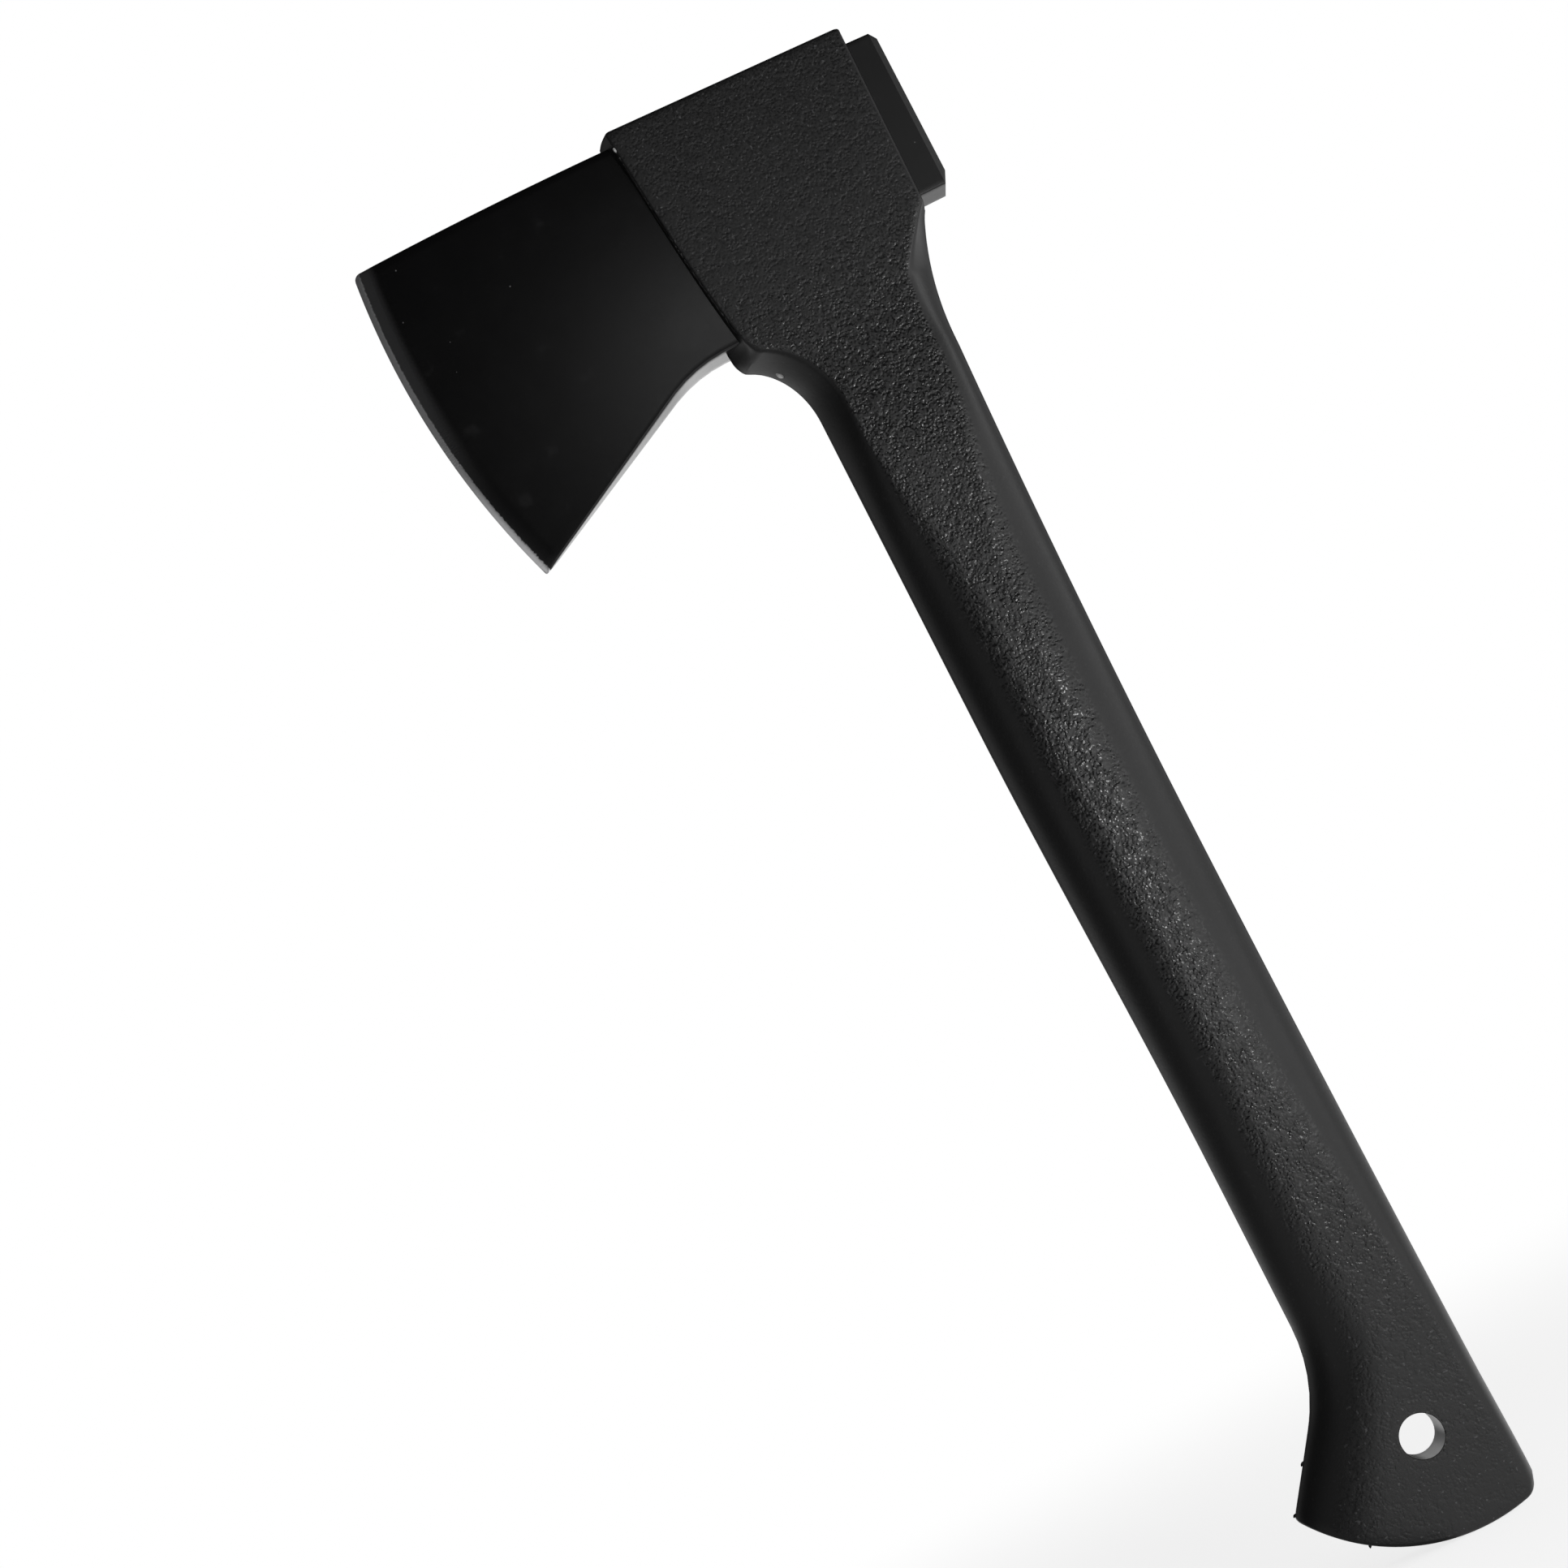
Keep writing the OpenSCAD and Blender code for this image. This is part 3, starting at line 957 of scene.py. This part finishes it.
def nylon_material():
    """Black glass-filled nylon with a moulded pebble grain, smooth along the mould line."""
    material, tree, shader, place = start_material("grained_nylon")
    textured, grained = textured_areas(tree, place)
    broad = grain_noise(tree, place, 26.0, 3.0)
    matte = ramp(tree, broad, 0.3, 0.7, 0.42, 0.37)
    polish = ramp(tree, grain_noise(tree, place, 0.5, 0.0), 0.50, 0.62, 0.0, 0.27)
    sockets = {
        "Base Color": nylon_colour(tree, place, broad, textured),
        "Roughness": calc(tree, "SUBTRACT", matte, times(tree, polish, grained)),
        "Normal": bump(tree, pebble_height(tree, place, grained), 1.0, 0.15),
    }
    finish_material(tree, shader, sockets, 0.5)
    return material


# ---------------------------------------------------------------- steel

def edge_distances(tree, place):
    """How far a point lies behind the cutting edge, and how far along it."""
    flat = vector_math(tree, "MULTIPLY", place, (1, 0, 1))[0]
    centre = (EDGE_CENTRE[0] * MM, 0, EDGE_CENTRE[1] * MM)
    away = vector_math(tree, "DISTANCE", flat, centre)["Value"]
    depth = calc(tree, "SUBTRACT", EDGE_RADIUS * MM, away)
    offset = axes_of(tree, vector_math(tree, "SUBTRACT", flat, centre)[0])
    angle = calc(tree, "ARCTAN2", offset["Z"], times(tree, offset["X"], -1.0))
    return depth, times(tree, angle, EDGE_RADIUS * MM)


def coat_colour(tree, place, blotch):
    """Near-black coating with faint scuffs and a few specks of dust."""
    broad = grain_noise(tree, place, 22.0, 4.0)
    coat = blend_colour(tree, broad, (0.0010, 0.0010, 0.0011, 1), (0.0022, 0.0022, 0.0024, 1))
    scuff = times(tree, ramp(tree, blotch, 0.62, 0.74), 0.22)
    coat = blend_colour(tree, scuff, coat, (0.03, 0.03, 0.031, 1))
    dust = node(tree, "ShaderNodeTexVoronoi", {"Vector": place, "Scale": 170.0}).outputs["Distance"]
    return blend_colour(tree, ramp(tree, dust, 0.018, 0.03, 0.55, 0.0), coat, grey(0.25))


def steel_roughness(tree, place, blotch, scratch, ground, shown):
    """Satin coating, rougher on the poll and on the ground band, with grinding strokes."""
    coat = ramp(tree, blotch, 0.3, 0.75, 0.20, 0.22)
    on_poll = ramp(tree, axes_of(tree, place)["X"], 12 * MM, 24 * MM, 0.0, 0.18)
    coat = calc(tree, "ADD", coat, on_poll)
    rough = node(tree, "ShaderNodeMix", {0: ground, 2: coat, 3: 0.36}).outputs[0]
    drawn = ramp(tree, shown, 3.0 * MM, 9.0 * MM, 0.15, 0.03)
    stroke = times(tree, calc(tree, "SUBTRACT", scratch, 0.5), drawn)
    return calc(tree, "ADD", rough, stroke)


def steel_material():
    """Matte black coating on steel, with a bare satin bevel that fades into the coating."""
    material, tree, shader, place = start_material("coated_steel")
    depth, along = edge_distances(tree, place)
    strokes = node(tree, "ShaderNodeCombineXYZ", {0: times(tree, depth, 0.06), 1: along, 2: 0.0}).outputs[0]
    scratch = plain_noise(tree, strokes, 5200.0, 3.0)["Fac"]
    ragged = times(tree, calc(tree, "SUBTRACT", scratch, 0.5), 0.9 * MM)
    shown = calc(tree, "ADD", depth, ragged)

    bare = ramp(tree, shown, 1.0 * MM, 1.25 * MM, 1.0, 0.0)
    toe_side = ramp(tree, axes_of(tree, place)["Z"], 228 * MM, 262 * MM, 0.12, 1.0)
    ground = times(tree, ramp(tree, shown, 1.2 * MM, 4.6 * MM, 1.0, 0.0), toe_side)

    blotch = grain_noise(tree, place, 6.0, 5.0)
    colour = coat_colour(tree, place, blotch)
    colour = blend_colour(tree, ground, colour, (0.08, 0.08, 0.082, 1))
    colour = blend_colour(tree, bare, colour, (0.78, 0.78, 0.79, 1))
    fine = grain_noise(tree, place, 0.35, 2.0)
    height = calc(tree, "ADD", times(tree, fine, 0.12), times(tree, scratch, ground))
    sockets = {
        "Base Color": colour,
        "Roughness": steel_roughness(tree, place, blotch, scratch, ground, shown),
        "Metallic": calc(tree, "MAXIMUM", times(tree, ground, 0.7), bare),
        "Normal": bump(tree, height, 0.6, 0.03),
    }
    finish_material(tree, shader, sockets, 0.42)
    return material


# ---------------------------------------------------------------- stage, lights and camera

def emission(tree, strength):
    inputs = {"Color": grey(1.0), "Strength": strength}
    return node(tree, "ShaderNodeEmission", inputs).outputs[0]


def floor_bounce(tree, place, reach):
    """How bright the hatchet sees the floor: dim in front of the edge, and brighter close behind."""
    towards = vector_math(tree, "DOT_PRODUCT", place, SHADED_WAY)["Value"]
    shaded = calc(tree, "DIVIDE", towards, reach)
    strength = ramp(tree, shaded, 0.55, 0.85, FLOOR_BOUNCE, FLOOR_SHADED)
    behind = ramp(tree, axes_of(tree, place)["Y"], 0.0, 0.12, 0.0, 0.5)
    lift = times(tree, behind, ramp(tree, reach, 0.25, 0.45, 1.0, 0.0))
    return times(tree, strength, calc(tree, "ADD", lift, 1.0))


def floor_material():
    """Pale paper that fades into the white backdrop where the camera looks at it."""
    material = bpy.data.materials.new("pale_floor")
    material.use_nodes = True
    tree = material.node_tree
    tree.nodes.remove(tree.nodes["Principled BSDF"])
    place = node(tree, "ShaderNodeTexCoord").outputs["Object"]
    reach = node(tree, "ShaderNodeVectorMath", {0: place}, operation="LENGTH").outputs["Value"]
    paper = node(tree, "ShaderNodeBsdfDiffuse", {"Color": grey(0.8)}).outputs[0]
    near = node(tree, "ShaderNodeAddShader", {0: paper, 1: emission(tree, FLOOR_GLOW)}).outputs[0]
    far = ramp(tree, reach, *FLOOR_FADE)
    seen = node(tree, "ShaderNodeMixShader", {0: far, 1: near, 2: emission(tree, 1.0)}).outputs[0]
    bounce = emission(tree, floor_bounce(tree, place, reach))
    dim = node(tree, "ShaderNodeAddShader", {0: paper, 1: bounce}).outputs[0]
    ray = node(tree, "ShaderNodeLightPath").outputs["Is Camera Ray"]
    mixed = node(tree, "ShaderNodeMixShader", {0: ray, 1: dim, 2: seen}).outputs[0]
    tree.links.new(mixed, tree.nodes["Material Output"].inputs["Surface"])
    return material


def white_floor(low):
    """A wide round floor at a height, so that no horizon shows."""
    bm = bmesh.new()
    bmesh.ops.create_circle(bm, cap_ends=True, radius=FLOOR_RADIUS, segments=96)
    mesh = bpy.data.meshes.new("floor")
    bm.to_mesh(mesh)
    bm.free()
    floor = bpy.data.objects.new("floor", mesh)
    floor.location.z = low
    bpy.context.scene.collection.objects.link(floor)
    floor.data.materials.append(floor_material())


def white_world():
    """White where the camera looks straight at it, and a dim even fill for everything else."""
    world = bpy.data.worlds.new("studio")
    bpy.context.scene.world = world
    world.use_nodes = True
    tree = world.node_tree
    for old in list(tree.nodes):
        tree.nodes.remove(old)
    seen = node(tree, "ShaderNodeBackground", {"Color": grey(1.0), "Strength": 1.0}).outputs[0]
    fill = node(tree, "ShaderNodeBackground", {"Color": grey(1.0), "Strength": WORLD_FILL}).outputs[0]
    ray = node(tree, "ShaderNodeLightPath").outputs["Is Camera Ray"]
    mixed = node(tree, "ShaderNodeMixShader", {0: ray, 1: fill, 2: seen}).outputs[0]
    output = node(tree, "ShaderNodeOutputWorld")
    tree.links.new(mixed, output.inputs["Surface"])


def soft_light(name, azimuth, elevation, distance, size, power):
    """A square softbox aimed at the grip. Azimuth 0 is in front (-Y), and 90 is on the poll's side."""
    a, e = math.radians(azimuth), math.radians(elevation)
    way = Vector((math.sin(a) * math.cos(e), -math.cos(a) * math.cos(e), math.sin(e)))
    data = bpy.data.lights.new(name, "AREA")
    data.shape = "SQUARE"
    data.size = size
    data.energy = power
    lamp = bpy.data.objects.new(name, data)
    lamp.location = LIGHT_AIM + way * distance
    lamp.rotation_euler = (-way).to_track_quat("-Z", "Y").to_euler()
    lamp.visible_camera = False
    bpy.context.scene.collection.objects.link(lamp)


def camera():
    """The photograph's viewing angle: low, looking slightly up, and rolled about a quarter turn."""
    data = bpy.data.cameras.new("camera")
    data.lens = 85.5
    data.sensor_width = 36
    eye = bpy.data.objects.new("camera", data)
    right = Vector((0.89454, 0.04402, -0.44482)).normalized()
    ahead = Vector((0.01294, 0.99217, 0.12421))
    ahead = (ahead - right * ahead.dot(right)).normalized()
    up = right.cross(ahead)
    turn = Matrix((right, up, -ahead)).transposed()
    eye.matrix_world = Matrix.Translation(Vector((-58.45, -685.3, 71.33)) * MM) @ turn.to_4x4()
    bpy.context.scene.collection.objects.link(eye)
    bpy.context.scene.camera = eye


# ---------------------------------------------------------------- the scene

handle = build_handle()
handle.data.materials.clear()
handle.data.materials.append(nylon_material())
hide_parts("handle")
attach(handle, "root")

head = build_head()
head.data.materials.append(steel_material())
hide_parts("axe_head")
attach(head, "root")

camera()
white_world()
white_floor(cad_box[0].z)
for light in LIGHTS:
    soft_light(*light)

bpy.context.scene.view_settings.view_transform = "Standard"
